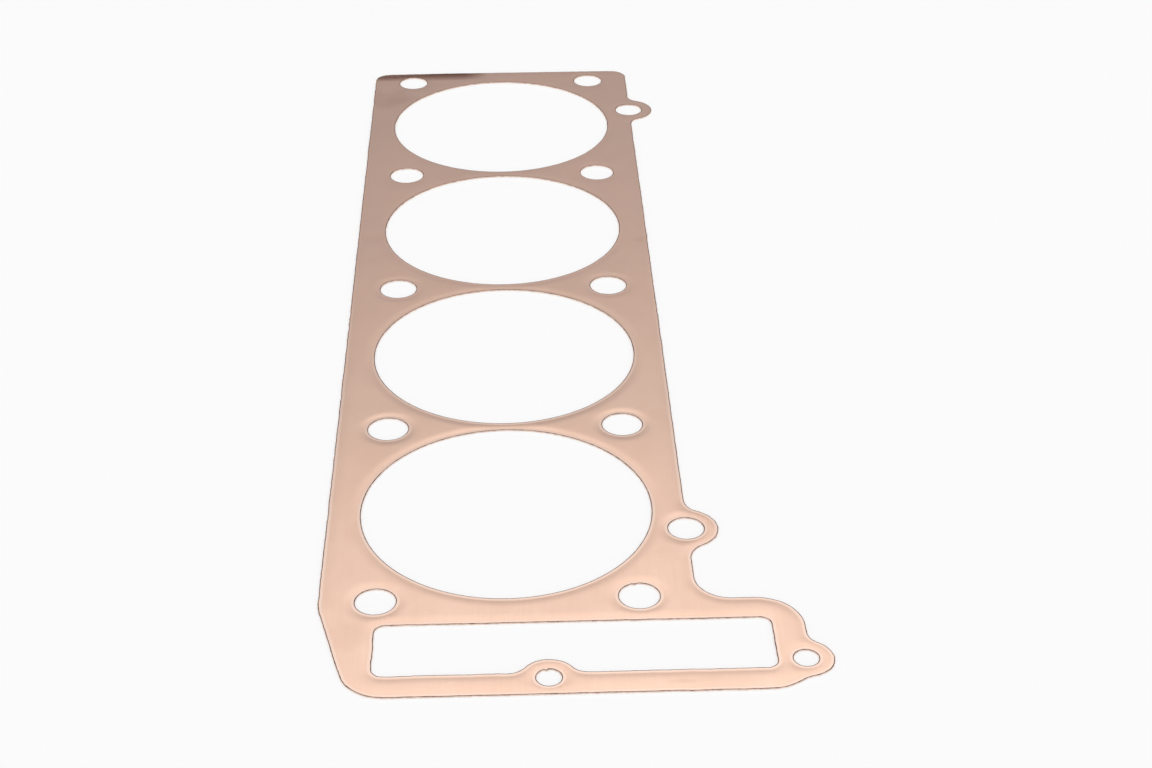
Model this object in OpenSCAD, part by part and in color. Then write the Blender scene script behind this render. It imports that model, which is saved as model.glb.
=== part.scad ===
// Cylinder base gasket of an in-line engine: one sheet of soft copper, punched in one piece.
// The origin is the centre of the first cylinder opening, the one beside the chain tunnel, on the
// sheet's underside. +Y runs along the row of cylinders, +X towards the side tabs, +Z up.

/* [Sheet] */
// Thickness of the copper sheet
sheet_t = 0.5; // [0.4:0.05:1]
// Width of the band along every cut edge that the punch rolled down
roll_w = 3.4; // [2.6:0.1:3.6]
// Width of the level lip between the rolled bend and the cut
lip_w = 0.9; // [0.5:0.1:1.2]
// Depth of the level lip below the flat top
roll_drop = 0.1; // [0.05:0.01:0.2]

/* [Cylinder openings] */
// Number of cylinders
cylinder_count = 4; // [2:1:6]
// Diameter of a cylinder opening
bore_d = 86; // [76:1:96]
// Width of the web between two cylinder openings
web_w = 4; // [3.5:0.1:8]

/* [Stud holes] */
// Distance between the two rows of stud holes
stud_gauge = 73.6; // [70:0.2:80]
// Distance of the end stud holes' centres past the rim of an end cylinder opening
end_stud_past = 0.2; // [0:0.1:2]
// Diameter of the four end stud holes
end_stud_d = 11.5; // [8:0.1:12]
// Diameter of the stud holes between two cylinders
mid_stud_d = 12.6; // [8:0.1:13]

/* [Body outline] */
// Width of the sheet between a cylinder opening and the body's side edge
side_wall = 9.8; // [9:0.1:13]
// Distance of the plain end's edge past the end stud holes
plain_end_wall = 9.8; // [9:0.1:13]
// Radius of the plain end's two corners
plain_corner_r = 6; // [4:0.5:9]

/* [Side tabs] */
// Width of the sheet round the hole of a tab or boss
tab_wall = 4.15; // [3.65:0.05:5]
// Distance of the side tabs' holes inside the body's side edge
side_tab_in = 0.4; // [0:0.1:1.5]
// Distance of the first side tab before the centre of the first cylinder
first_tab_back = 11.6; // [9:0.1:14]
// Distance of the last side tab past the centre of the last cylinder
last_tab_out = 12.9; // [9:0.1:16]
// Diameter of a side tab's hole
side_tab_d = 10.5; // [8:0.1:11]
// Fillet radius of the first tab, on its chain-tunnel side
first_tab_low_fillet = 7.5; // [4:0.5:8]
// Fillet radius of the first tab, on its other side
first_tab_high_fillet = 6.5; // [4:0.5:10]
// Fillet radius of the last tab, on both sides
last_tab_fillet = 5; // [3:0.5:8]

/* [Chain end] */
// Distance of the knee, where the slanted side starts, past the end stud holes
knee_past = 2.1; // [0:0.1:6]
// Radius of the knee
knee_r = 20; // [10:1:40]
// Angle of the slanted side
slant = 14.7; // [10:0.1:15]
// Radius of the corner on the slanted side
slant_corner_r = 13; // [9:0.5:15]
// Distance of the arm's outer edge past the body's side edge
arm_out = 28.7; // [27:0.1:32]
// Width of the strip between the arm's top edge and the chain tunnel
arm_wall = 9; // [8:0.5:10]
// Radius of the arm's shoulder
shoulder_r = 12.8; // [10:0.2:14]
// Radius of the notch between the body and the arm
notch_r = 10; // [7:0.5:10.5]
// Radius of the heel below the arm
heel_r = 13; // [12:0.25:14]
// Distance of the heel's arc centre inside the arm's outer edge
heel_in = 12.3; // [11:0.1:13.5]
// Width of the strip between the chain tunnel and the chain end's edge
chain_end_wall = 8.75; // [8:0.25:10]

/* [Chain tunnel] */
// Distance of the chain tunnel past the end stud holes
tunnel_past = 10.8; // [10:0.1:13]
// Height of the chain tunnel along the row of cylinders
tunnel_h = 21.5; // [20:0.25:25]
// Distance of the tunnel's edge inside the body's side edge, on the slanted side
tunnel_slant_in = 16.2; // [15:0.1:22]
// Distance of the tunnel's edge inside the arm's outer edge
tunnel_arm_in = 9.3; // [8.5:0.1:12]
// Radius of the tunnel's corners
tunnel_r = 3; // [2:0.5:5]

/* [Small screw holes] */
// Diameter of the two small screw holes
screw_d = 6.9; // [5:0.1:7]
// Distance of the boss hole from the middle line of the cylinders
boss_x = 10.7; // [5:0.1:20]
// Distance of the boss hole from the chain end's edge
boss_in = 6.75; // [6:0.05:7.5]
// Fillet radius between the boss and the tunnel's edge
boss_fillet = 6; // [3:0.5:8]
// Distance of the end tab's hole inside the arm's outer edge
end_tab_in = 1.6; // [0.5:0.1:2]
// Distance of the end tab's hole from the chain end's edge
end_tab_up = 12.25; // [11.5:0.05:13]
// Fillet radius between the end tab and the arm
end_tab_high_fillet = 5.2; // [4:0.2:6]
// Fillet radius between the end tab and the heel
end_tab_low_fillet = 11; // [8:0.5:14]

/* [Turned-down edge] */
// Width of the turned-down strip at the plain end's corner
turned_w = 6.5; // [3:0.5:8]
// Length over which the turned-down strip runs out along the plain end
turned_l = 47; // [30:1:60]
// Depth that the turned-down strip drops at the corner
turned_drop = 0.25; // [0.15:0.05:0.3]

/* [Hidden] */

full_turn = 360;
// Greatest angle between two neighbouring points of an arc
arc_angle = 7.5;
// Number of flats that make the rolled bend
bend_steps = 3;
// Sides of a punched hole and of the turned-down bend
hole_sides = 96;
bend_sides = 256;
// Length by which a cut runs past the faces that it opens
past = 1;
// Width by which the rolled band laps over the flat part of the sheet
lap = 0.2;
// Two ends of arcs that are nearer than this are one point
same_point = 0.001;
// Height of the turned-down bend above the flat top, so that the two faces cross at a clear line
crown = 0.01;

// Places along the row of cylinders
bore_spacing = bore_d + web_w;
last_bore = bore_spacing * (cylinder_count - 1);
end_stud_out = bore_d / 2 + end_stud_past;
plain_edge = last_bore + end_stud_out + plain_end_wall;
tunnel_near = end_stud_out + tunnel_past;
tunnel_far = tunnel_near + tunnel_h;
chain_end = tunnel_far + chain_end_wall;
arm_back = tunnel_near - arm_wall;

// Places across the row of cylinders
half_w = bore_d / 2 + side_wall;
side_tab_x = half_w - side_tab_in;
arm_x = half_w + arm_out;
end_tab_x = arm_x - end_tab_in;

side_tab_r = side_tab_d / 2 + tab_wall;
screw_tab_r = screw_d / 2 + tab_wall;

// The rolled bend is an arc that leaves the flat top level and is steepest where it meets the lip.
bend_w = roll_w - lip_w;
roll_slope = 2 * atan(roll_drop / bend_w);
roll_r = bend_w / sin(roll_slope);
// Height of the cut face below the lip
cut_face = sheet_t - roll_drop;

// An arc is [centre, radius, first angle, last angle]. Angles that grow make a rounding and
// angles that shrink make a hollow, as the path runs anticlockwise round its shape.
function turn(arc) = sign(arc[3] - arc[2]);

// Point of an arc at one angle, moved in from the edge of its shape by inset
function arc_point(arc, a, inset = 0) = arc[0] + (arc[1] - turn(arc) * inset) * [cos(a), sin(a)];

// Points of one arc, without its last point where the next arc starts there
function arc_points(arc, next, inset) =
    let (
        steps = max(1, ceil(abs(arc[3] - arc[2]) / arc_angle)),
        joined = norm(arc_point(arc, arc[3]) - arc_point(next, next[2])) < same_point
    )
    [
        for (i = [0:joined ? steps - 1 : steps])
            arc_point(arc, arc[2] + (arc[3] - arc[2]) * i / steps, inset)
    ];

// A closed path runs straight from the end of one arc to the start of the next.
function path_points(path, inset) = [
    for (k = [0:len(path) - 1]) each arc_points(path[k], path[(k + 1) % len(path)], inset)
];

// Angle of the direction from one point to another, from 0 to a full turn
function heading(from, to) =
    let (a = atan2(to.y - from.y, to.x - from.x))
    a < 0 ? a + full_turn : a;

// Centre of a fillet between an upright edge at edge_x and a round tab: side is 1 above the tab
function edge_fillet_centre(tab, tab_r, edge_x, fillet, side) =
    let (dx = edge_x + fillet - tab.x, reach = tab_r + fillet)
    [edge_x + fillet, tab.y + side * sqrt(reach * reach - dx * dx)];

// Centre of a circle that lies at two given distances from two points, on the right of the line
// from the first point to the second
function centre_between(a, reach_a, b, reach_b) =
    let (
        span = norm(b - a),
        along = (b - a) / span,
        run = (reach_a * reach_a - reach_b * reach_b + span * span) / (2 * span),
        rise = sqrt(reach_a * reach_a - run * run)
    )
    a + run * along + rise * [along.y, -along.x];

// The three arcs of a side tab, upwards along the body's edge
function side_tab(tab_y, low_fillet, high_fillet) =
    let (
        tab = [side_tab_x, tab_y],
        low = edge_fillet_centre(tab, side_tab_r, half_w, low_fillet, -1),
        high = edge_fillet_centre(tab, side_tab_r, half_w, high_fillet, 1)
    )
    [
        [low, low_fillet, 180, heading(low, tab)],
        [tab, side_tab_r, heading(tab, low) - full_turn, heading(tab, high)],
        [high, high_fillet, heading(high, tab), 180]
    ];

// The two arcs of the slanted side: its knee and the corner below it
function slanted_side() =
    let (
        knee_back = end_stud_out + knee_past,
        knee = [-half_w + knee_r, -knee_back + knee_r * tan(slant / 2)],
        corner_y = -chain_end + slant_corner_r,
        rise = corner_y + knee_back,
        corner_x = -half_w + (slant_corner_r - rise * sin(slant)) / cos(slant)
    )
    [
        [knee, knee_r, 180, 180 + slant],
        [[corner_x, corner_y], slant_corner_r, 180 + slant, 270]
    ];

// The arcs of the heel, the end tab, the arm's shoulder and the notch, from the chain end upwards
function arm_side() =
    let (
        heel = [arm_x - heel_in, -chain_end + heel_r],
        heel_reach = heel_r + end_tab_low_fillet,
        tab = [end_tab_x, -chain_end + end_tab_up],
        low = centre_between(heel, heel_reach, tab, screw_tab_r + end_tab_low_fillet),
        high = edge_fillet_centre(tab, screw_tab_r, arm_x, end_tab_high_fillet, 1)
    )
    [
        [heel, heel_r, 270, heading(heel, low)],
        [low, end_tab_low_fillet, heading(low, heel), heading(low, tab)],
        [tab, screw_tab_r, heading(tab, low) - full_turn, heading(tab, high)],
        [high, end_tab_high_fillet, heading(high, tab), 180],
        [[arm_x - shoulder_r, -arm_back - shoulder_r], shoulder_r, 0, 90],
        [[half_w + notch_r, -arm_back + notch_r], notch_r, 270, 180]
    ];

// The whole outer edge of the gasket
function outline() =
    let (
        corner_y = plain_edge - plain_corner_r,
        corner_x = half_w - plain_corner_r
    )
    concat(
        [
            [[corner_x, corner_y], plain_corner_r, 0, 90],
            [[-corner_x, corner_y], plain_corner_r, 90, 180]
        ],
        slanted_side(),
        arm_side(),
        side_tab(-first_tab_back, first_tab_low_fillet, first_tab_high_fillet),
        side_tab(last_bore + last_tab_out, last_tab_fillet, last_tab_fillet)
    );

// The edge of the chain tunnel, with the screw boss that stands into it
function tunnel() =
    let (
        left = -half_w + tunnel_slant_in + tunnel_r,
        right = arm_x - tunnel_arm_in - tunnel_r,
        low = -tunnel_far + tunnel_r,
        high = -tunnel_near - tunnel_r,
        boss = [boss_x, -chain_end + boss_in],
        fillet_y = -tunnel_far + boss_fillet,
        reach = screw_tab_r + boss_fillet,
        fillet_dx = sqrt(reach * reach - pow(fillet_y - boss.y, 2)),
        boss_left = [boss_x - fillet_dx, fillet_y],
        boss_right = [boss_x + fillet_dx, fillet_y]
    )
    [
        [[left, low], tunnel_r, 180, 270],
        [boss_left, boss_fillet, 270, heading(boss_left, boss)],
        [boss, screw_tab_r, heading(boss, boss_left), heading(boss, boss_right)],
        [boss_right, boss_fillet, heading(boss_right, boss), 270],
        [[right, low], tunnel_r, 270, 360],
        [[right, high], tunnel_r, 0, 90],
        [[left, high], tunnel_r, 90, 180]
    ];

// Upper face of the rolled band, from the flat top to the cut edge: [distance from the cut, height]
roll_section = [
    for (i = [0:bend_steps])
        let (a = roll_slope * i / bend_steps)
        [roll_w - roll_r * sin(a), sheet_t - roll_r * (1 - cos(a))],
    [0, cut_face]
];

// The rolled band along a path: side is 1 inside an outer edge and -1 round an opening
module rolled_rim(path, side) {
    section = concat([[roll_w + lap, 0], [roll_w + lap, sheet_t]], roll_section, [[0, 0]]);
    rows = len(section);
    rings = [for (s = section) path_points(path, side * s[0])];
    count = len(rings[0]);
    points = [for (r = [0:rows - 1]) for (p = rings[r]) [p.x, p.y, section[r][1]]];
    faces = [
        for (r = [0:rows - 1])
            for (i = [0:count - 1])
                let (
                    next_r = (r + 1) % rows,
                    next_i = (i + 1) % count,
                    quad = [r * count + i, r * count + next_i, next_r * count + next_i, next_r * count + i]
                )
                side > 0 ? quad : [quad[3], quad[2], quad[1], quad[0]]
    ];
    polyhedron(points, faces);
}

// The flat part of the sheet, inside the rolled bands
module flat_sheet() {
    linear_extrude(sheet_t)
        difference() {
            polygon(path_points(outline(), roll_w));
            polygon(path_points(tunnel(), -roll_w));
        }
}

// The blank with its rolled outer edge and its rolled chain tunnel
module blank() {
    flat_sheet();
    rolled_rim(outline(), 1);
    rolled_rim(tunnel(), -1);
}

// What the punch takes out for a round hole: a straight cut that flares over the rolled band
module punched_hole(d) {
    rim = d / 2 + roll_w;
    lip = past * tan(roll_slope / bend_steps / 2);
    rotate_extrude($fn = hole_sides)
        polygon(concat(
            [[0, -past], [d / 2, -past]],
            [for (i = [bend_steps + 1:-1:1]) [d / 2 + roll_section[i][0], roll_section[i][1]]],
            [[rim + past, sheet_t + lip], [rim + past, sheet_t + past], [0, sheet_t + past]]
        ));
}

// The two stud holes of one row across the cylinders
module stud_pair(y, d) {
    for (side = [-1, 1])
        translate([side * stud_gauge / 2, y, 0]) punched_hole(d);
}

module cylinder_openings() {
    for (i = [0:cylinder_count - 1])
        translate([0, i * bore_spacing, 0]) punched_hole(bore_d);
}

module stud_holes() {
    stud_pair(-end_stud_out, end_stud_d);
    stud_pair(last_bore + end_stud_out, end_stud_d);
    for (i = [1:cylinder_count - 1])
        stud_pair((i - 0.5) * bore_spacing, mid_stud_d);
}

module tab_holes() {
    translate([side_tab_x, -first_tab_back, 0]) punched_hole(side_tab_d);
    translate([side_tab_x, last_bore + last_tab_out, 0]) punched_hole(side_tab_d);
    translate([end_tab_x, -chain_end + end_tab_up, 0]) punched_hole(screw_d);
    translate([boss_x, -chain_end + boss_in, 0]) punched_hole(screw_d);
}

// What is missing above the turned-down strip at the corner of the plain end, a round bend that
// starts on a slanting line and is deepest at the corner
module turned_down_edge() {
    bend_r = turned_w * turned_w / (2 * turned_drop);
    skew = atan(turned_w / turned_l);
    margin = 2 * turned_w;
    translate([-half_w, plain_edge - turned_w, sheet_t])
        rotate([0, 0, skew])
            difference() {
                translate([-margin, 0, -bend_r / 2])
                    cube([turned_l + 2 * margin, margin, bend_r / 2 + past]);
                translate([-margin - past, 0, crown - bend_r])
                    rotate([0, 90, 0])
                        cylinder(r = bend_r, h = turned_l + 2 * (margin + past), $fn = bend_sides);
            }
}

module gasket_sheet() {
    color([0.93, 0.72, 0.61])
        difference() {
            blank();
            cylinder_openings();
            stud_holes();
            tab_holes();
            turned_down_edge();
        }
}

gasket_sheet();
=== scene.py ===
"""Looks of a copper cylinder base gasket: the punched sheet, the floor, the light and the camera."""

import logging
import math
from collections.abc import Iterable
from dataclasses import dataclass, field
from enum import Enum

import bmesh
import bpy
from mathutils import Euler, Matrix, Vector, noise
from mathutils.bvhtree import BVHTree


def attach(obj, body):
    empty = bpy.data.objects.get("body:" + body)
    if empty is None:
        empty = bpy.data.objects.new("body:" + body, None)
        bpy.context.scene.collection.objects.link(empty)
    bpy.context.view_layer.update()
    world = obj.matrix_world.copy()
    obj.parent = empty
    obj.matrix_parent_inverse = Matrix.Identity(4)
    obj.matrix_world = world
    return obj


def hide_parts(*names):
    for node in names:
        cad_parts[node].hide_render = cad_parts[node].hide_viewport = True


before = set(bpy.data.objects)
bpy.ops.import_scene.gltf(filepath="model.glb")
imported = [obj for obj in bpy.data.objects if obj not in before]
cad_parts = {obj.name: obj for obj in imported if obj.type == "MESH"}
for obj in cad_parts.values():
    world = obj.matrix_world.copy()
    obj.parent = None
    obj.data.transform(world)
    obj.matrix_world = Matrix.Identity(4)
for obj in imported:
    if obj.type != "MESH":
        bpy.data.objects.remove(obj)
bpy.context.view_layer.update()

MM = 0.001
# Vertex layer with the share of painted highlight on the level lips beside the cut edges.
LIP_HIGHLIGHT_LAYER = "pressed lip"
log = logging.getLogger("gasket")


class FilletSide(Enum):
    """On which side of a tab a fillet lies, along the row of cylinders."""

    BELOW = -1
    ABOVE = 1


class Finish(Enum):
    """Material slots of the sheet, and a mark for the faces that are still being cut into cells."""

    ROLLED_FACE = 0
    CUT_FACE = 1
    CELL = 2


@dataclass(frozen=True)
class Arc:
    """A round stretch of an edge: growing angles round the sheet off, shrinking angles hollow it."""

    centre: Vector
    radius: float
    start: float
    end: float

    def steps(self, chord: float) -> int:
        """Number of straight pieces that keep each one shorter than a chord."""
        length = self.radius * math.radians(abs(self.end - self.start))
        return max(2, math.ceil(length / chord))

    def point(self, angle: float) -> Vector:
        """Point of the arc at an angle in degrees, at height 0."""
        turned = math.radians(angle)
        return (self.centre + self.radius * Vector((math.cos(turned), math.sin(turned)))).to_3d()


def heading(start: Vector, end: Vector) -> float:
    """Angle of the direction from one point to another, from 0 to 360 degrees."""
    return math.degrees(math.atan2(end.y - start.y, end.x - start.x)) % 360


def edge_fillet_centre(tab: Vector, tab_r: float, edge_x: float, fillet: float, side: FilletSide) -> Vector:
    """Finds the centre of a fillet between an upright edge and a round tab.

    Args:
        tab: Centre of the tab.
        tab_r: Outer radius of the tab.
        edge_x: Place of the upright edge.
        fillet: Radius of the fillet.
        side: Whether the fillet lies above or below the tab.

    Returns:
        The fillet's centre.
    """
    dx = edge_x + fillet - tab.x
    return Vector((edge_x + fillet, tab.y + side.value * math.sqrt((tab_r + fillet) ** 2 - dx * dx)))


def centre_between(a: Vector, reach_a: float, b: Vector, reach_b: float) -> Vector:
    """Finds the point at two given distances from two points, on the right of the line between them.

    Args:
        a: First point.
        reach_a: Distance from the first point.
        b: Second point.
        reach_b: Distance from the second point.

    Returns:
        The point at both distances.
    """
    span = (b - a).length
    along = (b - a) / span
    run = (reach_a**2 - reach_b**2 + span**2) / (2 * span)
    rise = math.sqrt(reach_a**2 - run * run)
    return a + run * along + rise * Vector((along.y, -along.x))


@dataclass
class GasketSizes:
    """Sizes of the real gasket in millimetres, from the centre of the first cylinder opening."""

    sheet_t: float = 0.5
    roll_w: float = 3.1
    lip_w: float = 0.9
    roll_drop: float = 0.09
    fade_start: float = 40.0
    fade_length: float = 100.0
    least_roll: float = 0.2
    edge_round: float = 0.1
    low_bevel: float = 0.1
    cylinder_count: int = 4
    bore_d: float = 86.0
    bore_spacing: float = 90.0
    stud_gauge: float = 73.6
    end_stud_out: float = 43.2
    end_stud_d: float = 11.5
    mid_stud_d: float = 12.6
    half_w: float = 52.8
    plain_end_out: float = 53.0
    plain_corner_r: float = 6.0
    side_tab_x: float = 52.4
    first_tab_y: float = -11.6
    last_tab_out: float = 12.9
    side_tab_r: float = 9.4
    side_tab_d: float = 10.5
    first_tab_low_fillet: float = 7.5
    first_tab_high_fillet: float = 6.5
    last_tab_fillet: float = 5.0
    chain_end: float = 84.25
    slant_corner_r: float = 13.0
    knee_back: float = 45.3
    knee_r: float = 20.0
    slant: float = 14.7
    arm_x: float = 81.5
    arm_back: float = 45.0
    shoulder_r: float = 12.8
    notch_r: float = 10.0
    heel_x: float = 69.2
    heel_r: float = 13.0
    tunnel_slant_x: float = 36.6
    tunnel_arm_x: float = 72.2
    tunnel_near: float = 54.0
    tunnel_far: float = 75.5
    tunnel_r: float = 3.0
    screw_d: float = 6.9
    boss_x: float = 10.7
    boss_y: float = -77.5
    boss_fillet: float = 6.0
    end_tab_x: float = 79.9
    end_tab_y: float = -72.0
    screw_tab_r: float = 7.6
    end_tab_high_fillet: float = 5.2
    end_tab_low_fillet: float = 11.0
    turned_w: float = 6.5
    turned_l: float = 47.0
    turned_drop: float = 0.25

    @property
    def last_bore(self) -> float:
        """Place of the last cylinder opening's centre."""
        return self.bore_spacing * (self.cylinder_count - 1)

    @property
    def plain_edge(self) -> float:
        """Place of the plain end's edge."""
        return self.last_bore + self.plain_end_out

    def roll_share(self, y: float) -> float:
        """Share of the full roll at a place along the row, as the roll fades towards the plain end."""
        away = max(0.0, y - self.fade_start) / self.fade_length
        return max(self.least_roll, 1 / (1 + away**2))

    def rolled_down(self, inset: float, y: float) -> float:
        """Finds how far the rolled band lies below the flat top.

        Args:
            inset: Distance from the cut edge.
            y: Place along the row.

        Returns:
            Depth below the flat top.
        """
        reach = min(1.0, max(0.0, (self.roll_w - inset) / (self.roll_w - self.lip_w)))
        return self.roll_drop * self.roll_share(y) * reach**2 * (3 - 2 * reach)

    def rounded_off(self, inset: float) -> float:
        """Depth of the small rounding where the top face meets the cut."""
        reach = max(0.0, self.edge_round - inset)
        return self.edge_round - math.sqrt(self.edge_round**2 - reach**2)

    def turned_down(self, place: Vector) -> float:
        """Depth of the turned-down strip at the plain end, deepest at the corner."""
        start = Vector((-self.half_w, self.plain_edge - self.turned_w))
        skew = math.atan2(self.turned_w, self.turned_l)
        beyond = max(0.0, (place.xy - start).dot(Vector((-math.sin(skew), math.cos(skew)))))
        return self.turned_drop * (beyond / self.turned_w) ** 2

    def top_height(self, place: Vector, inset: float) -> float:
        """Finds the height of the top face.

        Args:
            place: Place on the sheet.
            inset: Its distance from the nearest cut edge.

        Returns:
            Height above the sheet's underside.
        """
        depth = max(self.rolled_down(inset, place.y), self.turned_down(place))
        return self.sheet_t - depth - self.rounded_off(inset) * 0.99

    def side_tab(self, tab_y: float, low_fillet: float, high_fillet: float) -> list[Arc]:
        """Lists the three arcs of a side tab, upwards along the body's edge.

        Args:
            tab_y: Place of the tab's hole along the row.
            low_fillet: Fillet radius towards the chain end.
            high_fillet: Fillet radius towards the plain end.

        Returns:
            The arcs in order.
        """
        tab = Vector((self.side_tab_x, tab_y))
        low = edge_fillet_centre(tab, self.side_tab_r, self.half_w, low_fillet, FilletSide.BELOW)
        high = edge_fillet_centre(tab, self.side_tab_r, self.half_w, high_fillet, FilletSide.ABOVE)
        return [
            Arc(low, low_fillet, 180, heading(low, tab)),
            Arc(tab, self.side_tab_r, heading(tab, low) - 360, heading(tab, high)),
            Arc(high, high_fillet, heading(high, tab), 180),
        ]

    def slanted_side(self) -> list[Arc]:
        """Lists the knee and the corner of the slanted side."""
        slant = math.radians(self.slant)
        knee = Vector((-self.half_w + self.knee_r, -self.knee_back + self.knee_r * math.tan(slant / 2)))
        corner_y = -self.chain_end + self.slant_corner_r
        rise = corner_y + self.knee_back
        corner_x = -self.half_w + (self.slant_corner_r - rise * math.sin(slant)) / math.cos(slant)
        return [
            Arc(knee, self.knee_r, 180, 180 + self.slant),
            Arc(Vector((corner_x, corner_y)), self.slant_corner_r, 180 + self.slant, 270),
        ]

    def arm_side(self) -> list[Arc]:
        """Lists the arcs of the heel, the end tab, the arm's shoulder and the notch, upwards."""
        heel = Vector((self.heel_x, -self.chain_end + self.heel_r))
        tab = Vector((self.end_tab_x, self.end_tab_y))
        reach = self.end_tab_low_fillet
        low = centre_between(heel, self.heel_r + reach, tab, self.screw_tab_r + reach)
        high = edge_fillet_centre(
            tab, self.screw_tab_r, self.arm_x, self.end_tab_high_fillet, FilletSide.ABOVE
        )
        shoulder = Vector((self.arm_x - self.shoulder_r, -self.arm_back - self.shoulder_r))
        notch = Vector((self.half_w + self.notch_r, -self.arm_back + self.notch_r))
        return [
            Arc(heel, self.heel_r, 270, heading(heel, low)),
            Arc(low, reach, heading(low, heel), heading(low, tab)),
            Arc(tab, self.screw_tab_r, heading(tab, low) - 360, heading(tab, high)),
            Arc(high, self.end_tab_high_fillet, heading(high, tab), 180),
            Arc(shoulder, self.shoulder_r, 0, 90),
            Arc(notch, self.notch_r, 270, 180),
        ]

    def outline(self) -> list[Arc]:
        """Lists the arcs of the whole outer edge, anticlockwise."""
        corner = Vector((self.half_w - self.plain_corner_r, self.plain_edge - self.plain_corner_r))
        other = Vector((-corner.x, corner.y))
        last_tab_y = self.last_bore + self.last_tab_out
        return [
            Arc(corner, self.plain_corner_r, 0, 90),
            Arc(other, self.plain_corner_r, 90, 180),
            *self.slanted_side(),
            *self.arm_side(),
            *self.side_tab(self.first_tab_y, self.first_tab_low_fillet, self.first_tab_high_fillet),
            *self.side_tab(last_tab_y, self.last_tab_fillet, self.last_tab_fillet),
        ]

    def tunnel(self) -> list[Arc]:
        """Lists the arcs of the chain tunnel's edge with its screw boss, anticlockwise."""
        left = -self.tunnel_slant_x + self.tunnel_r
        right = self.tunnel_arm_x - self.tunnel_r
        low = -self.tunnel_far + self.tunnel_r
        high = -self.tunnel_near - self.tunnel_r
        boss = Vector((self.boss_x, self.boss_y))
        fillet_y = -self.tunnel_far + self.boss_fillet
        reach = self.screw_tab_r + self.boss_fillet
        fillet_dx = math.sqrt(reach**2 - (fillet_y - boss.y) ** 2)
        before = Vector((boss.x - fillet_dx, fillet_y))
        after = Vector((boss.x + fillet_dx, fillet_y))
        return [
            Arc(Vector((left, low)), self.tunnel_r, 180, 270),
            Arc(before, self.boss_fillet, 270, heading(before, boss)),
            Arc(boss, self.screw_tab_r, heading(boss, before), heading(boss, after)),
            Arc(after, self.boss_fillet, heading(after, boss), 270),
            Arc(Vector((right, low)), self.tunnel_r, 270, 360),
            Arc(Vector((right, high)), self.tunnel_r, 0, 90),
            Arc(Vector((left, high)), self.tunnel_r, 90, 180),
        ]

    def round_holes(self) -> list[tuple[Vector, float]]:
        """Lists the centre and radius of every round hole."""
        holes = [(Vector((0, i * self.bore_spacing)), self.bore_d / 2) for i in range(self.cylinder_count)]
        rows = [(y, self.end_stud_d) for y in (-self.end_stud_out, self.last_bore + self.end_stud_out)]
        rows += [((i - 0.5) * self.bore_spacing, self.mid_stud_d) for i in range(1, self.cylinder_count)]
        for y, d in rows:
            holes += [(Vector((side * self.stud_gauge / 2, y)), d / 2) for side in (-1, 1)]
        holes.append((Vector((self.side_tab_x, self.first_tab_y)), self.side_tab_d / 2))
        holes.append((Vector((self.side_tab_x, self.last_bore + self.last_tab_out)), self.side_tab_d / 2))
        holes.append((Vector((self.end_tab_x, self.end_tab_y)), self.screw_d / 2))
        holes.append((Vector((self.boss_x, self.boss_y)), self.screw_d / 2))
        return holes


class NodeSheet:
    """Adds nodes to a node tree and links them in the same call."""

    def __init__(self, tree: bpy.types.NodeTree) -> None:
        """Keeps the tree that the nodes go into."""
        self.tree = tree

    def add(self, kind: str, inputs: dict | None = None, **settings: object) -> bpy.types.Node:
        """Adds one node.

        Args:
            kind: The node's type name.
            inputs: Values or output sockets for its inputs, by name or number.
            **settings: The node's own settings.

        Returns:
            The new node.
        """
        node = self.tree.nodes.new(kind)
        for key, value in settings.items():
            setattr(node, key, value)
        for key, value in (inputs or {}).items():
            self.put(node.inputs[key], value)
        return node

    def put(self, socket: bpy.types.NodeSocket, value: object) -> None:
        """Links an output socket to an input, or sets the input's value."""
        if isinstance(value, bpy.types.NodeSocket):
            self.tree.links.new(value, socket)
        else:
            socket.default_value = value

    def maths(
        self, operation: str, a: object, b: object = 0.0, clamp: bool = False
    ) -> bpy.types.NodeSocket:
        """Adds a Math node on two values and returns its result."""
        return self.add("ShaderNodeMath", {0: a, 1: b}, operation=operation, use_clamp=clamp).outputs[0]

    def mix(self, amount: object, first: object, second: object) -> bpy.types.NodeSocket:
        """Mixes two colours and returns the result."""
        node = self.add("ShaderNodeMix", {0: amount, 6: first, 7: second}, data_type="RGBA")
        return node.outputs[2]

    def map_range(
        self, value: object, from_lo: float, from_hi: float, lo: float, hi: float
    ) -> bpy.types.NodeSocket:
        """Maps a value from one range smoothly to another and returns the result."""
        inputs = {"Value": value, "From Min": from_lo, "From Max": from_hi, "To Min": lo, "To Max": hi}
        return self.add("ShaderNodeMapRange", inputs, interpolation_type="SMOOTHSTEP").outputs["Result"]


def new_group(name: str, inputs: dict[str, tuple[str, object]], outputs: Iterable[str]) -> tuple:
    """Starts a shader node group with named inputs and value outputs.

    Args:
        name: The group's name.
        inputs: For each input its socket type and default value.
        outputs: Names of the value outputs.

    Returns:
        The group's tree, its node sheet, its input node and its output node.
    """
    tree = bpy.data.node_groups.new(name, "ShaderNodeTree")
    for label, (kind, default) in inputs.items():
        socket = tree.interface.new_socket(name=label, in_out="INPUT", socket_type=kind)
        if default is not None:
            socket.default_value = default
    for label in outputs:
        tree.interface.new_socket(name=label, in_out="OUTPUT", socket_type="NodeSocketFloat")
    sheet = NodeSheet(tree)
    return tree, sheet, tree.nodes.new("NodeGroupInput"), tree.nodes.new("NodeGroupOutput")


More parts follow.
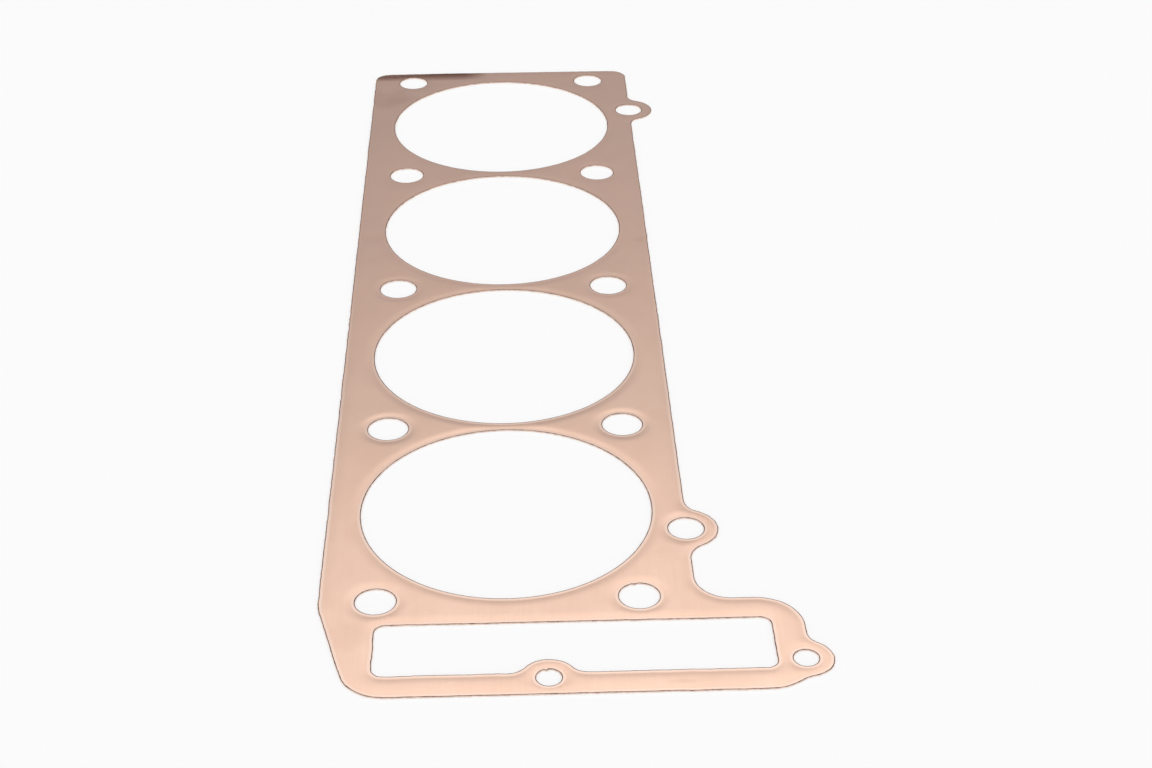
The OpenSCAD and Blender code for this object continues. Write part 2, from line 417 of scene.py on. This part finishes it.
class SurfaceEffects:
    """Shader node groups that the sheet's finishes share."""

    def __init__(self) -> None:
        """Builds every group once."""
        self.grain = self.build_grain()
        self.blotches = self.build_blotches()
        self.spot = self.build_spot()
        self.bent_strip = self.build_bent_strip()

    def build_grain(self) -> bpy.types.NodeTree:
        """Builds the fine lines that the rolling mill leaves along the sheet."""
        tree, sheet, given, result = new_group(
            "rolling grain",
            {"Place": ("NodeSocketVector", None), "Line Width": ("NodeSocketFloat", 0.4)},
            ("Lines",),
        )
        place = sheet.add(
            "ShaderNodeMapping", {"Vector": given.outputs["Place"], "Scale": (1000, 28, 1000)}
        ).outputs[0]
        width = sheet.maths("DIVIDE", 1.0, given.outputs["Line Width"])
        lines = sheet.add(
            "ShaderNodeTexNoise", {"Vector": place, "Scale": width, "Detail": 4.0, "Roughness": 0.6}
        )
        sheet.put(result.inputs["Lines"], lines.outputs[0])
        return tree

    def build_blotches(self) -> bpy.types.NodeTree:
        """Builds soft irregular patches of a given width."""
        tree, sheet, given, result = new_group(
            "soft blotches",
            {"Place": ("NodeSocketVector", None), "Width": ("NodeSocketFloat", 20.0)},
            ("Mask",),
        )
        scale = sheet.maths("DIVIDE", 1000.0, given.outputs["Width"])
        shape = {"Detail": 5.0, "Roughness": 0.55, "Distortion": 0.4}
        cloud = sheet.add(
            "ShaderNodeTexNoise", {"Vector": given.outputs["Place"], "Scale": scale, **shape}
        )
        sheet.put(result.inputs["Mask"], sheet.map_range(cloud.outputs[0], 0.35, 0.7, 0.0, 1.0))
        return tree

    def build_spot(self) -> bpy.types.NodeTree:
        """Builds one ragged round spot at a given place."""
        tree, sheet, given, result = new_group(
            "ragged spot",
            {
                "Place": ("NodeSocketVector", None),
                "Centre": ("NodeSocketVector", None),
                "Squeeze": ("NodeSocketVector", None),
                "Radius": ("NodeSocketFloat", 3.0),
            },
            ("Mask",),
        )
        cloud = sheet.add(
            "ShaderNodeTexNoise", {"Vector": given.outputs["Place"], "Scale": 90.0, "Detail": 2.0}
        )
        offset = sheet.add(
            "ShaderNodeVectorMath",
            {0: given.outputs["Place"], 1: given.outputs["Centre"]},
            operation="SUBTRACT",
        ).outputs["Vector"]
        squeezed = sheet.add(
            "ShaderNodeVectorMath", {0: offset, 1: given.outputs["Squeeze"]}, operation="MULTIPLY"
        ).outputs["Vector"]
        reach = sheet.add("ShaderNodeVectorMath", {0: squeezed}, operation="LENGTH").outputs["Value"]
        share = sheet.maths("DIVIDE", sheet.maths("MULTIPLY", reach, 1000.0), given.outputs["Radius"])
        ragged = sheet.maths("ADD", share, sheet.map_range(cloud.outputs[0], 0.2, 0.8, -0.35, 0.35))
        sheet.put(result.inputs["Mask"], sheet.map_range(ragged, 0.0, 1.1, 1.0, 0.0))
        return tree

    def build_bent_strip(self) -> bpy.types.NodeTree:
        """Builds the height and the share of a strip that curls down towards an edge and ends along it."""
        tree, sheet, given, result = new_group(
            "bent strip",
            {
                "Place": ("NodeSocketVector", None),
                "Edge": ("NodeSocketFloat", 0.32),
                "End": ("NodeSocketFloat", 0.0),
                "Fade": ("NodeSocketFloat", 0.01),
                "Width": ("NodeSocketFloat", 0.008),
                "Slope": ("NodeSocketFloat", 0.08),
            },
            ("Height", "Share"),
        )
        parts = sheet.add("ShaderNodeSeparateXYZ", {0: given.outputs["Place"]})
        width = given.outputs["Width"]
        start = sheet.maths("SUBTRACT", given.outputs["Edge"], width)
        beyond = sheet.maths("MAXIMUM", sheet.maths("SUBTRACT", parts.outputs["Y"], start), 0.0)
        share = sheet.maths("DIVIDE", beyond, width)
        left = sheet.maths("SUBTRACT", given.outputs["End"], parts.outputs["X"])
        kept = sheet.maths("DIVIDE", left, given.outputs["Fade"], clamp=True)
        bend = sheet.maths("MULTIPLY", sheet.maths("MULTIPLY", share, beyond), kept)
        drop = sheet.maths("MULTIPLY", bend, sheet.maths("MULTIPLY", given.outputs["Slope"], -0.5))
        sheet.put(result.inputs["Height"], drop)
        sheet.put(result.inputs["Share"], sheet.maths("MULTIPLY", share, kept, clamp=True))
        return tree


@dataclass(frozen=True)
class DullAndShadeSpot:
    """A darker, rougher spot on the sheet, or a spot of painted shade: centre and radius in millimetres,
    how strong and how long it is.
    """

    x: float
    y: float
    radius: float
    strength: float
    length_share: float = 1.0


@dataclass(frozen=True)
class CopperFinish:
    """Rolled soft copper with faint tone changes, fine grain and a few darker, rougher spots, one of them
    painted shade; the lips beside the cuts carry a painted highlight and the turned-down strip painted
    shade.
    """

    copper: tuple = (0.94, 0.65, 0.51, 1.0)
    tarnish: tuple = (0.86, 0.56, 0.42, 1.0)
    # Painted highlight: the lips beside the cut edges are painted paler for the bright edge they catch.
    painted_highlight: tuple = (0.96, 0.72, 0.6, 1.0)
    # Colour of the spots: the strongest spot is painted shade of a slight wave in the sheet, the others
    # darken the copper in patches.
    dull_and_shade: tuple = (0.68, 0.42, 0.32, 1.0)
    # Painted shade: the turned-down strip at the plain end is painted darker and redder for the dark it
    # reflects.
    strip_shade: tuple = (0.78, 0.31, 0.16, 1.0)
    roughness: float = 0.19
    strip_slope: float = 0.16
    strip_width: float = 7.8
    strip_fade: float = 10.0
    spots: tuple[DullAndShadeSpot, ...] = (
        DullAndShadeSpot(-42.5, -57.0, 9.0, 0.12),
        DullAndShadeSpot(46.0, -80.5, 1.2, 0.22, 4.0),
        DullAndShadeSpot(-46.7, 172.5, 7.0, 0.12, 1.5),
        DullAndShadeSpot(50.1, 168.8, 4.0, 0.2),
        # Painted shade of a slight wave in the sheet by the far-left corner.
        DullAndShadeSpot(-45.0, 296.0, 10.0, 0.5, 1.4),
    )

    def build(self, effects: SurfaceEffects, sizes: GasketSizes) -> bpy.types.Material:
        """Builds the material.

        Args:
            effects: The shared node groups.
            sizes: The sheet's sizes, for the place of the turned-down strip.

        Returns:
            The material.
        """
        material = bpy.data.materials.new("rolled copper")
        material.use_nodes = True
        tree = material.node_tree
        sheet = NodeSheet(tree)
        surface = tree.nodes["Principled BSDF"]
        place = sheet.add("ShaderNodeTexCoord").outputs["Object"]
        grain = sheet.add("ShaderNodeGroup", {}, node_tree=effects.grain)
        sheet.put(grain.inputs["Place"], place)
        wide = sheet.add("ShaderNodeGroup", {}, node_tree=effects.blotches)
        sheet.put(wide.inputs["Place"], place)
        sheet.put(wide.inputs["Width"], 40.0)
        small = sheet.add("ShaderNodeGroup", {}, node_tree=effects.blotches)
        sheet.put(small.inputs["Place"], place)
        sheet.put(small.inputs["Width"], 9.0)
        dull_and_shade_marks: bpy.types.NodeSocket | float = 0.0
        for spot in self.spots:
            mark = sheet.add("ShaderNodeGroup", {}, node_tree=effects.spot)
            sheet.put(mark.inputs["Place"], place)
            sheet.put(mark.inputs["Centre"], (spot.x * MM, spot.y * MM, sizes.sheet_t * MM))
            sheet.put(mark.inputs["Squeeze"], (1 / spot.length_share, 1.0, 1.0))
            sheet.put(mark.inputs["Radius"], spot.radius)
            scaled = sheet.maths("MULTIPLY", mark.outputs["Mask"], spot.strength)
            dull_and_shade_marks = sheet.maths("MAXIMUM", dull_and_shade_marks, scaled)
        tone = sheet.mix(sheet.maths("MULTIPLY", wide.outputs["Mask"], 0.25), self.copper, self.tarnish)
        lines = sheet.map_range(grain.outputs["Lines"], 0.3, 0.7, 0.0, 0.12)
        tone = sheet.mix(lines, tone, self.tarnish)
        tone = sheet.mix(sheet.maths("MULTIPLY", small.outputs["Mask"], 0.22), tone, self.tarnish)
        # Painted highlight: paler colour on the lips beside the cut edges, by the vertex layer.
        lip = sheet.add("ShaderNodeAttribute", {}, attribute_name=LIP_HIGHLIGHT_LAYER).outputs["Fac"]
        tone = sheet.mix(lip, tone, self.painted_highlight)
        strip = sheet.add("ShaderNodeGroup", {}, node_tree=effects.bent_strip)
        sheet.put(strip.inputs["Place"], place)
        sheet.put(strip.inputs["Edge"], sizes.plain_edge * MM)
        sheet.put(strip.inputs["End"], (sizes.turned_l - sizes.half_w) * MM)
        sheet.put(strip.inputs["Fade"], self.strip_fade * MM)
        sheet.put(strip.inputs["Width"], self.strip_width * MM)
        sheet.put(strip.inputs["Slope"], self.strip_slope)
        # Painted shade on the turned-down strip, on top of its bent normal.
        tone = sheet.mix(strip.outputs["Share"], tone, self.strip_shade)
        # Darker colour at the spots, the strongest of which is painted shade.
        sheet.put(surface.inputs["Base Color"], sheet.mix(dull_and_shade_marks, tone, self.dull_and_shade))
        rough = sheet.maths("ADD", self.roughness, sheet.maths("MULTIPLY", grain.outputs["Lines"], 0.06))
        rough = sheet.maths("ADD", rough, sheet.maths("MULTIPLY", wide.outputs["Mask"], 0.04))
        rough = sheet.maths("ADD", rough, sheet.maths("MULTIPLY", dull_and_shade_marks, 0.05))
        sheet.put(surface.inputs["Roughness"], rough)
        surface.inputs["Metallic"].default_value = 1.0
        swell = sheet.add(
            "ShaderNodeTexNoise", {"Vector": place, "Scale": 26.0, "Detail": 1.0, "Roughness": 0.4}
        )
        bend = sheet.add(
            "ShaderNodeBump", {"Height": strip.outputs["Height"], "Strength": 1.0, "Distance": 1.0}
        )
        wave = sheet.add(
            "ShaderNodeBump",
            {"Height": swell.outputs[0], "Strength": 1.0, "Distance": 0.0001, "Normal": bend.outputs[0]},
        )
        fine = sheet.add(
            "ShaderNodeBump",
            {
                "Height": grain.outputs["Lines"],
                "Strength": 0.25,
                "Distance": 0.000004,
                "Normal": wave.outputs[0],
            },
        )
        sheet.put(surface.inputs["Normal"], fine.outputs[0])
        return material


@dataclass(frozen=True)
class CutFaceFinish:
    """The sheared face of the cut: rougher than the rolled face, with paler walls and a torn edge at its
    top that is painted dark as shade.
    """

    # Walls: paler sheared copper, lightened further as painted light against the shade at the foot of the
    # cut.
    copper: tuple = (0.95, 0.78, 0.68, 1.0)
    torn: tuple = (0.75, 0.57, 0.48, 1.0)
    # Painted shade: the upward-facing edge at the top of the cut is painted near black in patches, for the
    # dark line along every cut.
    shaded_rim: tuple = (0.36, 0.22, 0.17, 1.0)
    shaded_rim_torn: tuple = (0.08, 0.05, 0.04, 1.0)
    roughness: float = 0.4

    def build(self, effects: SurfaceEffects) -> bpy.types.Material:
        """Builds the material.

        Args:
            effects: The shared node groups.

        Returns:
            The material.
        """
        material = bpy.data.materials.new("sheared copper")
        material.use_nodes = True
        tree = material.node_tree
        sheet = NodeSheet(tree)
        surface = tree.nodes["Principled BSDF"]
        place = sheet.add("ShaderNodeTexCoord").outputs["Object"]
        patches = sheet.add("ShaderNodeGroup", {}, node_tree=effects.blotches)
        sheet.put(patches.inputs["Place"], place)
        sheet.put(patches.inputs["Width"], 1.4)
        facing = sheet.add(
            "ShaderNodeSeparateXYZ", {0: sheet.add("ShaderNodeTexCoord").outputs["Normal"]}
        ).outputs["Z"]
        wall = sheet.mix(patches.outputs["Mask"], self.copper, self.torn)
        shaded_rim = sheet.mix(patches.outputs["Mask"], self.shaded_rim, self.shaded_rim_torn)
        # Upward-facing faces take the painted-shade colour, the walls the paler painted-light copper.
        upward = sheet.map_range(facing, 0.2, 0.6, 0.0, 1.0)
        sheet.put(surface.inputs["Base Color"], sheet.mix(upward, wall, shaded_rim))
        surface.inputs["Metallic"].default_value = 1.0
        rough = sheet.maths("ADD", self.roughness, sheet.maths("MULTIPLY", patches.outputs["Mask"], 0.15))
        sheet.put(surface.inputs["Roughness"], rough)
        return material


@dataclass(frozen=True)
class Burr:
    """A small tooth that the punch left in a hole: the hole's number, its direction and its size."""

    hole: int
    direction: float
    size: float


@dataclass
class GasketSheet:
    """The one punched sheet: outline, chain tunnel, holes, rolled edges and the turned-down corner."""

    sizes: GasketSizes = field(default_factory=GasketSizes)
    chord: float = 0.75
    hole_chord: float = 1.0
    same_point: float = 0.01
    waver: float = 0.3
    fray: float = 0.16
    ring_insets: tuple[float, ...] = (0.03, 0.06, 0.1, 0.28, 0.9, 1.15, 1.4)
    # Rings out to this inset take the cut face's finish, whose upward faces are painted dark as shade.
    dark_rim: float = 0.28
    cell: float = 1.2
    cut_slack: float = 0.001
    line_slack: float = 0.004
    sharp_angle: float = 40.0
    waver_scales: tuple[float, float] = (0.16, 0.6)
    waver_patch_scale: float = 0.05
    fray_scale: float = 0.9
    fray_patch_scale: float = 0.07
    burrs: tuple[Burr, ...] = (Burr(17, 105.0, 0.6), Burr(5, 98.0, 0.35))

    def draw_edge(self, bm: bmesh.types.BMesh, arcs: list[Arc]) -> None:
        """Draws a closed edge of arcs and straight stretches at height 0.

        Args:
            bm: The mesh that gets the edge.
            arcs: The arcs in order.
        """
        for arc, following in zip(arcs, arcs[1:] + arcs[:1]):
            first = bmesh.ops.create_vert(bm, co=arc.point(arc.start))["vert"]
            bmesh.ops.spin(
                bm,
                geom=first,
                cent=arc.centre.to_3d(),
                axis=(0, 0, 1),
                angle=math.radians(arc.end - arc.start),
                steps=arc.steps(self.chord),
                use_duplicate=False,
            )
            last_co, first_co = arc.point(arc.end), following.point(following.start)
            if (last_co - first_co).length > self.same_point:
                pair = [bmesh.ops.create_vert(bm, co=co)["vert"][0] for co in (last_co, first_co)]
                stretch = bm.edges.new(pair)
                cuts = int(stretch.calc_length() // self.chord)
                bmesh.ops.subdivide_edges(bm, edges=[stretch], cuts=cuts)
        bmesh.ops.remove_doubles(bm, verts=bm.verts[:], dist=self.same_point)

    def draw_hole(self, bm: bmesh.types.BMesh, number: int, centre: Vector, radius: float) -> None:
        """Draws one round hole with the burrs that it has.

        Args:
            bm: The mesh that gets the hole.
            number: The hole's place in the list of holes.
            centre: The hole's centre.
            radius: The hole's radius.
        """
        drawn = bmesh.ops.create_circle(
            bm,
            cap_ends=False,
            radius=radius,
            segments=max(32, math.ceil(math.tau * radius / self.hole_chord)),
            matrix=Matrix.Translation(centre.to_3d()),
        )["verts"]
        for burr in self.burrs:
            if burr.hole == number:
                turned = math.radians(burr.direction)
                way = Vector((math.cos(turned), math.sin(turned), 0.0))
                tooth = max(drawn, key=lambda vert: vert.co.dot(way))
                tooth.co -= way * burr.size

    def draw_flat(self, bm: bmesh.types.BMesh) -> None:
        """Draws every edge of the sheet and fills the flat sheet between them."""
        self.draw_edge(bm, self.sizes.outline())
        self.draw_edge(bm, self.sizes.tunnel())
        wide, narrow = self.waver_scales
        for vert in bm.verts:
            shift = noise.noise_vector(vert.co * wide) * 0.5 + noise.noise_vector(vert.co * narrow) * 0.5
            rough = 0.4 + 1.4 * abs(noise.noise(vert.co * self.waver_patch_scale))
            vert.co += Vector((shift.x, shift.y, 0.0)) * self.waver * rough
        for number, (centre, radius) in enumerate(self.sizes.round_holes()):
            self.draw_hole(bm, number, centre, radius)
        bmesh.ops.triangle_fill(
            bm, use_beauty=True, use_dissolve=False, edges=bm.edges[:], normal=(0, 0, 1)
        )

    def raise_sheet(self, bm: bmesh.types.BMesh) -> tuple[list[bmesh.types.BMFace], BVHTree]:
        """Raises the cut walls and draws rings along every edge on the top face.

        Args:
            bm: The mesh with the flat sheet.

        Returns:
            The top's faces inside the rings, and a search tree of the cut walls.
        """
        bottom = bm.faces[:]
        raised = bmesh.ops.extrude_face_region(bm, geom=bottom, use_keep_orig=True)["geom"]
        top = [item for item in raised if isinstance(item, bmesh.types.BMFace)]
        verts = [item for item in raised if isinstance(item, bmesh.types.BMVert)]
        bmesh.ops.translate(bm, verts=verts, vec=(0, 0, self.sizes.sheet_t))
        bm.normal_update()
        walls = [face for face in bm.faces if abs(face.normal.z) < 0.5]
        corners = [vert.co.copy() for face in walls for vert in face.verts]
        tree = BVHTree.FromPolygons(corners, [tuple(range(4 * i, 4 * i + 4)) for i in range(len(walls))])
        sheared = list(walls)
        bevel = self.sizes.low_bevel
        sheared += bmesh.ops.inset_region(bm, faces=bottom, thickness=bevel, use_even_offset=True)["faces"]
        for vert in dict.fromkeys(vert for face in walls for vert in face.verts):
            vert.co.z = max(vert.co.z, bevel)
        reached = 0.0
        for inset in self.ring_insets:
            thickness = inset - reached
            ring = bmesh.ops.inset_region(bm, faces=top, thickness=thickness, use_even_offset=True)["faces"]
            if inset <= self.dark_rim:
                sheared += ring
            reached = inset
        for face in sheared:
            face.material_index = Finish.CUT_FACE.value
        return top, tree

    def cut_cells(self, bm: bmesh.types.BMesh, top: list[bmesh.types.BMFace]) -> None:
        """Cuts the top inside the rings into small square cells.

        Args:
            bm: The mesh with the raised sheet.
            top: The top's faces inside the rings.
        """
        for face in top:
            face.material_index = Finish.CELL.value
        starts = {}
        for axis in (1, 0):
            places = [vert.co[axis] for vert in bm.verts]
            starts[axis] = min(places)
            normal = Vector((axis == 0, axis == 1, 0.0))
            ahead = [face for face in bm.faces if face.material_index == Finish.CELL.value]
            for number in range(1, math.ceil((max(places) - starts[axis]) / self.cell)):
                edges = dict.fromkeys(edge for face in ahead for edge in face.edges)
                verts = dict.fromkeys(vert for face in ahead for vert in face.verts)
                place = normal * (starts[axis] + number * self.cell)
                pieces = bmesh.ops.bisect_plane(
                    bm, geom=[*verts, *edges, *ahead], dist=self.cut_slack, plane_co=place, plane_no=normal
                )["geom"]
                faces = [item for item in pieces if isinstance(item, bmesh.types.BMFace)]
                line = place.dot(normal)
                ahead = [face for face in faces if face.calc_center_median().dot(normal) > line]
        loose = [edge for edge in bm.edges if self.inside_cell(edge, starts)]
        bmesh.ops.dissolve_edges(bm, edges=loose, use_verts=True)

    def inside_cell(self, edge: bmesh.types.BMEdge, starts: dict[int, float]) -> bool:
        """Tells whether an edge only splits a cell, so that it can go."""
        if any(face.material_index != Finish.CELL.value for face in edge.link_faces):
            return False
        first, last = (vert.co for vert in edge.verts)
        for axis, start in starts.items():
            cells = (first[axis] - start) / self.cell
            along = abs(first[axis] - last[axis]) < self.line_slack
            if along and abs(cells - round(cells)) < self.line_slack:
                return False
        return True

    def shape_edges(self, bm: bmesh.types.BMesh, tree: BVHTree) -> None:
        """Rolls the top face down and frays the cut, from the distance to the nearest cut wall."""
        half = self.sizes.sheet_t / 2
        lip = bm.verts.layers.float.new(LIP_HIGHLIGHT_LAYER)
        for vert in bm.verts:
            inset = tree.find_nearest(Vector((vert.co.x, vert.co.y, half)))[3]
            if vert.co.z > half:
                vert.co.z = self.sizes.top_height(vert.co, inset)
                share = self.sizes.roll_share(vert.co.y)
                # Share of painted highlight on the lips, fading with the roll towards the plain end.
                vert[lip] = share**2 if inset < self.sizes.lip_w * 1.1 else 0.0
            if inset < self.sizes.lip_w:
                place = Vector((vert.co.x, vert.co.y, 0.0))
                rough = abs(noise.noise(place * self.fray_patch_scale)) + 0.2
                shift = noise.noise_vector(place * self.fray_scale) * self.fray * rough
                vert.co += Vector((shift.x, shift.y, 0.0)) * (1 - inset / self.sizes.lip_w)

    def finish_faces(self, bm: bmesh.types.BMesh) -> None:
        """Gives the cells their finish, keeps sharp edges and shades the rest smooth."""
        bmesh.ops.recalc_face_normals(bm, faces=bm.faces[:])
        for face in bm.faces:
            face.smooth = True
            if face.material_index == Finish.CELL.value:
                face.material_index = Finish.ROLLED_FACE.value
        for edge in bm.edges:
            if len(edge.link_faces) == 2 and edge.calc_face_angle() > math.radians(self.sharp_angle):
                edge.smooth = False

    def build(self, effects: SurfaceEffects) -> bpy.types.Object:
        """Builds the finished sheet.

        Args:
            effects: The shared node groups.

        Returns:
            The sheet's object.
        """
        bm = bmesh.new()
        self.draw_flat(bm)
        top, tree = self.raise_sheet(bm)
        self.cut_cells(bm, top)
        self.shape_edges(bm, tree)
        self.finish_faces(bm)
        bmesh.ops.scale(bm, vec=(MM, MM, MM), verts=bm.verts[:])
        mesh = bpy.data.meshes.new("copper_sheet")
        bm.to_mesh(mesh)
        bm.free()
        mesh.materials.append(CopperFinish().build(effects, self.sizes))
        mesh.materials.append(CutFaceFinish().build(effects))
        sheet = bpy.data.objects.new("copper_sheet", mesh)
        bpy.context.scene.collection.objects.link(sheet)
        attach(sheet, "root")
        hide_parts("gasket_sheet")
        return sheet


@dataclass
class Studio:
    """A plain white floor under an even sky, which falls off towards the horizon ahead of the camera."""

    floor_radius: float = 4.0
    floor_white: tuple = (0.97, 0.97, 0.97, 1.0)
    sky_level: float = 1.2
    sky: tuple[tuple[float, float], ...] = (
        (0.0, 0.11),
        (8.0, 0.12),
        (12.0, 0.15),
        (18.0, 0.27),
        (23.5, 0.475),
        (25.0, 0.448),
        (28.3, 0.435),
        (31.2, 0.525),
        (32.5, 0.64),
        (34.6, 0.725),
        (35.4, 0.79),
        (36.1, 0.98),
        (37.4, 1.22),
        (38.6, 1.235),
        (40.0, 1.13),
        (47.0, 1.18),
        (62.0, 1.05),
        (90.0, 1.0),
    )
    plain_level: float = 1.03
    horizon_blue: float = 1.07
    blue_top: float = 30.5
    side_fall: float = 0.045
    lamp_strength: float = 0.1
    lamp_spread: float = 90.0

    def build_floor(self) -> bpy.types.Object:
        """Builds the floor disc at the sheet's underside."""
        bm = bmesh.new()
        bmesh.ops.create_circle(bm, cap_ends=True, radius=self.floor_radius, segments=128)
        mesh = bpy.data.meshes.new("floor")
        bm.to_mesh(mesh)
        bm.free()
        material = bpy.data.materials.new("white floor")
        material.use_nodes = True
        surface = material.node_tree.nodes["Principled BSDF"]
        surface.inputs["Base Color"].default_value = self.floor_white
        surface.inputs["Roughness"].default_value = 1.0
        surface.inputs["Specular IOR Level"].default_value = 0.0
        mesh.materials.append(material)
        floor = bpy.data.objects.new("floor", mesh)
        bpy.context.scene.collection.objects.link(floor)
        return floor

    def build_sky(self) -> None:
        """Lights the scene from all round, with the falling-off part ahead of the camera."""
        world = bpy.data.worlds.new("studio")
        world.use_nodes = True
        sheet = NodeSheet(world.node_tree)
        background = world.node_tree.nodes["Background"]
        direction = sheet.add("ShaderNodeTexCoord").outputs["Generated"]
        parts = sheet.add("ShaderNodeSeparateXYZ", {0: direction})
        ramp = sheet.add("ShaderNodeValToRGB", {0: parts.outputs["Z"]})
        stops = ramp.color_ramp.elements
        for number, (elevation, level) in enumerate(self.sky):
            position = math.sin(math.radians(elevation))
            share = level / self.sky_level
            blue = share * (self.horizon_blue if elevation < self.blue_top else 1.0)
            if number == 0:
                stop = stops[0]
            elif number == len(self.sky) - 1:
                stop = stops[len(stops) - 1]
            else:
                stop = stops.new(position)
            stop.position = position
            stop.color = (share, share, blue, 1.0)
        dim = self.sky_level * (1 - self.side_fall)
        bright = self.sky_level * (1 + self.side_fall)
        strength = sheet.map_range(parts.outputs["X"], -0.12, 0.12, dim, bright)
        plain = self.plain_level / self.sky_level
        aside = sheet.map_range(parts.outputs["Y"], 0.2, 0.5, 1.0, 0.0)
        colour = sheet.mix(aside, ramp.outputs["Color"], (plain, plain, plain, 1.0))
        sheet.put(background.inputs["Color"], colour)
        sheet.put(background.inputs["Strength"], strength)
        bpy.context.scene.world = world

    def build_lamp(self) -> None:
        """Adds one wide soft lamp high over the chain end."""
        lamp = bpy.data.lights.new("soft lamp", "SUN")
        lamp.energy = self.lamp_strength
        lamp.angle = math.radians(self.lamp_spread)
        holder = bpy.data.objects.new("soft lamp", lamp)
        holder.rotation_euler = Euler((math.radians(20), math.radians(-15), 0))
        bpy.context.scene.collection.objects.link(holder)

    def build(self) -> None:
        """Builds the floor, the sky and the lamp, and sets plain colours."""
        self.build_floor()
        self.build_sky()
        self.build_lamp()
        bpy.context.scene.view_settings.view_transform = "Standard"


@dataclass(frozen=True)
class PhotoCamera:
    """The camera of the photograph, worked out from the round openings."""

    place: tuple[float, float, float] = (2.89, -506.96, 358.2)
    turn: tuple[float, float, float] = (58.19, 0.08237, -2.06135)
    focal_pixels: float = 2089.36
    frame_width: float = 1152.0
    sensor: float = 36.0

    def build(self) -> None:
        """Adds the camera and makes it the scene's."""
        data = bpy.data.cameras.new("photo camera")
        data.sensor_width = self.sensor
        data.lens = self.sensor * self.focal_pixels / self.frame_width
        data.clip_start = 0.01
        data.clip_end = 20.0
        camera = bpy.data.objects.new("photo camera", data)
        camera.location = Vector(self.place) * MM
        camera.rotation_euler = Euler([math.radians(a) for a in self.turn])
        bpy.context.scene.collection.objects.link(camera)
        bpy.context.scene.camera = camera


def main() -> None:
    """Builds the sheet, the studio and the camera, and reports the sheet's face count."""
    logging.basicConfig(level=logging.INFO, format="%(name)s: %(message)s")
    effects = SurfaceEffects()
    sheet = GasketSheet().build(effects)
    log.info("%s: %d faces", sheet.name, len(sheet.data.polygons))
    Studio().build()
    PhotoCamera().build()


if __name__ == "__main__":
    main()
